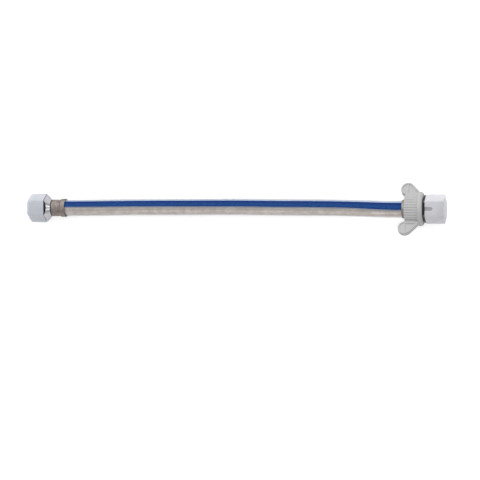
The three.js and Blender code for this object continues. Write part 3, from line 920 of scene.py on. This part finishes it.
# Grip
# Moulded light grey plastic: a body with fine lengthwise ribs, a smooth rounded rim in
# front, and two wings for the fingers, each with a dish and a rib on either side.
rim_face = -6.5 * mm
rim_radius = 17 * mm
rim_length = 4.8 * mm
grip_back = -24.5 * mm
rib_top = 15.3 * mm
rib_depth = 0.7 * mm
RIBS = 36
POINTS_PER_RIB = 4
back_bore = 10.1 * mm
hub_bore = 11.3 * mm

rim_back = rim_face - rim_length
step_in_bore = nut_back - 0.3 * mm
grip = turn_piece("ribbed_grip", [
    (grip_back, rib_top - 0.9 * mm),
    (grip_back + 0.25 * mm, rib_top - 0.35 * mm),
    (grip_back + 0.8 * mm, rib_top),
    (rim_back - 0.6 * mm, rib_top),
    (rim_back, rib_top + 0.2 * mm),
    (rim_back + 0.15 * mm, rim_radius - 0.7 * mm),
    (rim_back + 0.5 * mm, rim_radius - 0.2 * mm),
    (rim_back + 1.1 * mm, rim_radius),
    (rim_face - 2.6 * mm, rim_radius - 0.1 * mm),
    (rim_face - 1.6 * mm, rim_radius - 0.35 * mm),
    (rim_face - 0.8 * mm, rim_radius - 0.85 * mm),
    (rim_face - 0.25 * mm, rim_radius - 1.5 * mm),
    (rim_face, rim_radius - 2.3 * mm),
    (rim_face, hub_bore + 0.3 * mm),
    (rim_face - 0.3 * mm, hub_bore),
    (step_in_bore, hub_bore),
    (step_in_bore, back_bore),
    (grip_back + 0.3 * mm, back_bore),
    (grip_back, back_bore + 0.3 * mm),
], sides=RIBS * POINTS_PER_RIB)
for vertex in grip.data.vertices:
    x, y, z = vertex.co
    radius = math.hypot(y, z)
    if x < rim_back - 0.1 * mm and radius > rib_top - 1.2 * mm:
        point = round(math.atan2(y, z) / (2 * math.pi) * RIBS * POINTS_PER_RIB)
        if point % POINTS_PER_RIB in (1, 2):
            vertex.co = (x, y * (1 - rib_depth / radius), z * (1 - rib_depth / radius))

wing_thickness = 5.5 * mm
wing_tip = 29.3 * mm
lobe_radius = 7 * mm
lobe_x = rim_face - 17.1 * mm
wing_slope = math.radians(50)  # of the front edge, down to the rim
wing_root = 12.5 * mm
wing_edge = 1 * mm
dish_margin = 1.8 * mm
dish_foot = 18.2 * mm
dish_depth = 0.8 * mm
dish_rib = 1.4 * mm
ARC_POINTS = 48


def wing_outline(inset, foot_y, root_y):
    """Points round a wing: down the front slope, round the lobe and back to the root. An
    inset draws the same outline further in, as the edge of the dish."""
    lobe_y = wing_tip - lobe_radius
    radius = lobe_radius - inset
    slope_angle = math.pi / 2 - wing_slope
    back_angle = 2 * math.pi - math.acos((grip_back + inset - lobe_x) / radius)
    top_x = lobe_x + radius * math.cos(slope_angle)
    top_y = lobe_y + radius * math.sin(slope_angle)
    foot_x = top_x + (top_y - foot_y) / math.tan(wing_slope)
    points = [(grip_back + inset + 0.8 * mm, root_y), (foot_x, root_y)]
    if root_y < foot_y:
        points.append((foot_x, foot_y))
    for step in range(ARC_POINTS + 1):
        angle = slope_angle + (back_angle - slope_angle) * step / ARC_POINTS
        points.append((lobe_x + radius * math.cos(angle), lobe_y + radius * math.sin(angle)))
    return points


def plate(name, outline, bottom, thickness):
    """A flat plate in X and Y: a filled circle drawn out to an outline, then extruded."""
    bpy.ops.object.select_all(action="DESELECT")
    bpy.ops.mesh.primitive_circle_add(
        vertices=len(outline), radius=10 * mm, fill_type="NGON", location=(0, 0, 0)
    )
    flat = bpy.context.object
    for vertex, (x, y) in zip(flat.data.vertices, outline):
        vertex.co = (x, y, bottom)
    bpy.ops.object.mode_set(mode="EDIT")
    bpy.ops.mesh.select_all(action="SELECT")
    bpy.ops.mesh.extrude_region_move(TRANSFORM_OT_translate={"value": (0, 0, thickness)})
    close_skin()
    bpy.ops.object.mode_set(mode="OBJECT")
    flat.name = flat.data.name = name
    return flat


def make_wing():
    """One wing, standing up along Y with its thickness along Z."""
    outline = wing_outline(0, rim_radius - 1.4 * mm, wing_root)
    wing = plate("wing", outline, -wing_thickness / 2, wing_thickness)
    soften(wing, wing_edge, segments=4, angle=math.radians(60))
    dish_outline = wing_outline(dish_margin, dish_foot, dish_foot)
    for bottom in (wing_thickness / 2 - dish_depth, -wing_thickness / 2 - dish_depth):
        hollow = plate("dish", dish_outline, bottom, 2 * dish_depth)
        bpy.ops.mesh.primitive_cube_add(location=(lobe_x, wing_tip - lobe_radius, bottom))
        rib = bpy.context.object
        rib.scale = (dish_rib / 2, 2 * lobe_radius, 4 * dish_depth)
        bpy.ops.object.transform_apply(location=True, scale=True)
        cut(hollow, rib)
        cut(wing, hollow)
    return wing


# The nut is turned until one wing's tip touches the table.
tip_reach = wing_tip - wing_edge
wing_lean = math.asin(
    rim_radius / math.hypot(tip_reach, wing_thickness / 2)
) - math.atan2(wing_thickness / 2, tip_reach)
for side in (0, math.pi):
    wing = make_wing()
    wing.data.transform(Matrix.Rotation(side - wing_lean, 4, "X"))
    cut(grip, wing, "UNION")
grip.data.transform(at_wing_end)
smooth(grip, math.radians(28))

grip_plastic, shader, nodes, links = start_finish("grip_plastic", seen_colour(193, 193, 193), 0.45)
add_mottle(
    nodes, links, shader, 12 * mm, 0.35 * mm,
    (seen_colour(195, 194, 194), seen_colour(188, 188, 189)), (0.4, 0.52), 0.02 * mm,
)
dress(grip, grip_plastic)
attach(grip, "winged_nut")
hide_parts("wing_grip")


# Caps
# Thin six-sided covers of milky plastic, pushed over each nut to keep its thread clean on
# the way to the shop. The plain end's cap tapers; the other has pointed slots at its mouth.
cap_half_flats = 12.95 * mm
cap_wall = 0.7 * mm
cap_corner = 1.2 * mm
CORNER_STEPS = 4
ROUNDING_STEPS = 4


def capped_hex(name, mouth, shoulder, stations):
    """A six-sided shell from its open mouth, through stations of place and half width across
    its flats, to its closed end."""
    cap = hex_bar(name, mouth, shoulder, cap_half_flats)
    pick_edges(cap, lambda edge, vector: abs(vector.x) > 0.9 * vector.length)
    bpy.ops.mesh.bevel(offset=cap_corner, segments=CORNER_STEPS, affect="EDGES")
    bpy.ops.object.mode_set(mode="OBJECT")
    pick_faces(cap, lambda face: face.center.x > shoulder - 0.01 * mm)
    along, half_width = shoulder, cap_half_flats
    for next_along, next_half in stations:
        bpy.ops.mesh.extrude_region_move(
            TRANSFORM_OT_translate={"value": (next_along - along, 0, 0)}
        )
        factor = next_half / half_width
        bpy.ops.transform.resize(
            value=(1, factor, factor), center_override=(next_along, 0, 0)
        )
        along, half_width = next_along, next_half
    bpy.ops.object.mode_set(mode="OBJECT")
    pick_faces(cap, lambda face: face.center.x < mouth + 0.01 * mm)
    bpy.ops.mesh.delete(type="FACE")
    close_skin()
    bpy.ops.object.mode_set(mode="OBJECT")
    wall = cap.modifiers.new("wall", "SOLIDIFY")
    wall.thickness = cap_wall
    wall.offset = -1
    wall.use_even_offset = True
    bpy.ops.object.modifier_apply(modifier=wall.name)
    return cap


def pick_faces(piece, wanted):
    """Into edit mode with only the faces that are wanted, judged by place and normal."""
    bpy.context.view_layer.objects.active = piece
    for part in (piece.data.vertices, piece.data.edges, piece.data.polygons):
        part.foreach_set("select", [False] * len(part))
    for face in piece.data.polygons:
        face.select = wanted(face)
    bpy.context.tool_settings.mesh_select_mode = (False, False, True)
    bpy.ops.object.mode_set(mode="EDIT")


def pick_edges(piece, wanted):
    """Into edit mode with only the edges that are wanted, judged by their direction."""
    bpy.context.view_layer.objects.active = piece
    for part in (piece.data.vertices, piece.data.edges, piece.data.polygons):
        part.foreach_set("select", [False] * len(part))
    for edge in piece.data.edges:
        start, end = (piece.data.vertices[v].co for v in edge.vertices)
        edge.select = wanted(edge, end - start)
    bpy.context.tool_settings.mesh_select_mode = (False, True, False)
    bpy.ops.object.mode_set(mode="EDIT")


def rounded_end(end, radius):
    """Stations of a quarter round from the full width to the closed end."""
    stations = []
    for step in range(1, ROUNDING_STEPS + 1):
        angle = math.pi / 2 * step / ROUNDING_STEPS
        stations.append((
            end - radius + radius * math.sin(angle),
            cap_half_flats - radius + radius * math.cos(angle),
        ))
    return stations


def milky_plastic(name, light, dark, thinnest, thickest):
    """A cloudy see-through plastic that is denser where it is seen along its wall."""
    plastic, shader, nodes, links = start_finish(name, light, 0.3)
    add_mottle(nodes, links, shader, 8 * mm, 0.6 * mm, (light, dark), (0.26, 0.38), 0.02 * mm)
    along_wall = nodes.new("ShaderNodeLayerWeight")
    along_wall.inputs["Blend"].default_value = 0.4
    density = nodes.new("ShaderNodeMapRange")
    density.inputs["To Min"].default_value = thinnest
    density.inputs["To Max"].default_value = thickest
    links.new(along_wall.outputs["Facing"], density.inputs["Value"])
    links.new(density.outputs["Result"], shader.inputs["Alpha"])
    return plastic


plain_cap_mouth = -6.6 * mm
plain_cap_end = 11.2 * mm
taper_length = 3 * mm
taper_depth = 2.4 * mm
taper_start = plain_cap_end - taper_length
plain_cap = capped_hex("plain_cap_shell", plain_cap_mouth, taper_start - 0.5 * mm, [
    (taper_start - 0.1 * mm, cap_half_flats - 0.06 * mm),
    (taper_start + 0.4 * mm, cap_half_flats - 0.32 * mm),
    (plain_cap_end - 0.5 * mm, cap_half_flats - taper_depth + 0.35 * mm),
    (plain_cap_end - 0.15 * mm, cap_half_flats - taper_depth - 0.05 * mm),
    (plain_cap_end, cap_half_flats - taper_depth - 0.5 * mm),
])
plain_cap.data.transform(at_plain_end)
smooth(plain_cap, math.radians(28))
dress(plain_cap, milky_plastic(
    "milky_plastic", seen_colour(230, 233, 240), seen_colour(222, 226, 235), 0.55, 0.85
))
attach(plain_cap, "plain_cap")
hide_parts("plain_cap")

wing_cap_mouth = -3.9 * mm
wing_cap_end = 15 * mm
wing_cap_round = 1.1 * mm
slot_width = 3.8 * mm
slot_length = 8.2 * mm
slot_point = 1.9 * mm
wing_cap = capped_hex(
    "slotted_cap_shell",
    wing_cap_mouth,
    wing_cap_end - wing_cap_round,
    rounded_end(wing_cap_end, wing_cap_round),
)
slot = plate("slot", [
    (wing_cap_mouth - 1 * mm, -slot_width / 2),
    (wing_cap_mouth + slot_length - slot_point, -slot_width / 2),
    (wing_cap_mouth + slot_length, 0),
    (wing_cap_mouth + slot_length - slot_point, slot_width / 2),
    (wing_cap_mouth - 1 * mm, slot_width / 2),
], -20 * mm, 40 * mm)
cut(wing_cap, slot)
wing_cap.data.transform(at_wing_end)
smooth(wing_cap, math.radians(28))
dress(wing_cap, milky_plastic(
    "clearer_milky_plastic", seen_colour(250, 250, 254), seen_colour(245, 245, 251), 0.42, 0.8
))
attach(wing_cap, "wing_cap")
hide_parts("wing_cap")


# Studio
# A pale floor that the hose lies on, a soft white room, and one large lamp on the side of
# the picture's top edge. Two boards, seen only in the plating, give it its contrast.
FLOOR_SIZE = 8
bpy.ops.object.select_all(action="DESELECT")
bpy.ops.mesh.primitive_plane_add(size=FLOOR_SIZE, location=(0, 0, -0.02 * mm))
floor = bpy.context.object
floor.name = "floor"
floor_paint = bpy.data.materials.new("floor_paint")
floor_paint.use_nodes = True
nodes, links = floor_paint.node_tree.nodes, floor_paint.node_tree.links
nodes.remove(nodes["Principled BSDF"])
matt = nodes.new("ShaderNodeBsdfDiffuse")
matt.inputs["Color"].default_value = (0.86, 0.86, 0.86, 1)
glow = nodes.new("ShaderNodeEmission")
seen = nodes.new("ShaderNodeLightPath")
for_camera = nodes.new("ShaderNodeMath")
for_camera.operation = "MULTIPLY"
for_camera.inputs[1].default_value = 0.55
with_glossy = nodes.new("ShaderNodeMath")
with_glossy.operation = "MULTIPLY_ADD"
with_glossy.inputs[1].default_value = 0.15
both = nodes.new("ShaderNodeAddShader")
links.new(seen.outputs["Is Camera Ray"], for_camera.inputs[0])
links.new(seen.outputs["Is Glossy Ray"], with_glossy.inputs[0])
links.new(for_camera.outputs["Value"], with_glossy.inputs[2])
links.new(with_glossy.outputs["Value"], glow.inputs["Strength"])
links.new(matt.outputs["BSDF"], both.inputs[0])
links.new(glow.outputs["Emission"], both.inputs[1])
links.new(both.outputs["Shader"], nodes["Material Output"].inputs["Surface"])
dress(floor, floor_paint)

room = bpy.data.worlds.new("room")
room.use_nodes = True
room.node_tree.nodes["Background"].inputs["Color"].default_value = (1, 1, 1, 1)
room.node_tree.nodes["Background"].inputs["Strength"].default_value = 0.58
bpy.context.scene.world = room


def soft_lamp(name, place, aim, size, watts):
    """A square lamp that points from its place at what it lights."""
    data = bpy.data.lights.new(name, "AREA")
    data.size = size
    data.energy = watts
    lamp = bpy.data.objects.new(name, data)
    bpy.context.collection.objects.link(lamp)
    lamp.location = place
    lamp.rotation_euler = (Vector(aim) - Vector(place)).to_track_quat("-Z", "Y").to_euler()


soft_lamp("window_lamp", (-0.2, 1.3, 1.3), (0, 0, 0), 2.8, 28)

soft_lamp("strip_lamp", (0, -1.3, 0.6), (0, 0, 0), 0.35, 1.1)

dark_paint, shader, nodes, links = start_finish("dark_board_paint", seen_colour(34, 34, 36), 0.9)
white_paint, shader, nodes, links = start_finish("white_board_paint", (1, 1, 1, 1), 0.9)
shader.inputs["Emission Color"].default_value = (1, 1, 1, 1)
shader.inputs["Emission Strength"].default_value = 1.1


def mirrored_board(name, place, size, paint):
    """A board that faces the hose and is seen only in its reflections."""
    bpy.ops.mesh.primitive_plane_add(size=1, location=(0, 0, 0))
    board = bpy.context.object
    board.name = name
    turn = (-Vector(place)).to_track_quat("Z", "Y").to_matrix().to_4x4()
    scale = Matrix.Diagonal((*size, 1, 1))
    board.data.transform(Matrix.Translation(Vector(place)) @ turn @ scale)
    dress(board, paint)
    board.visible_camera = False
    board.visible_diffuse = False
    board.visible_shadow = False
    board.visible_transmission = False


mirrored_board("dark_board_above", (-0.81, 0.03, 1.95), (0.5, 0.3), dark_paint)
mirrored_board("white_board_beside", (1.2, 0, 0.18), (0.7, 0.22), white_paint)

bpy.context.scene.view_settings.view_transform = "Standard"
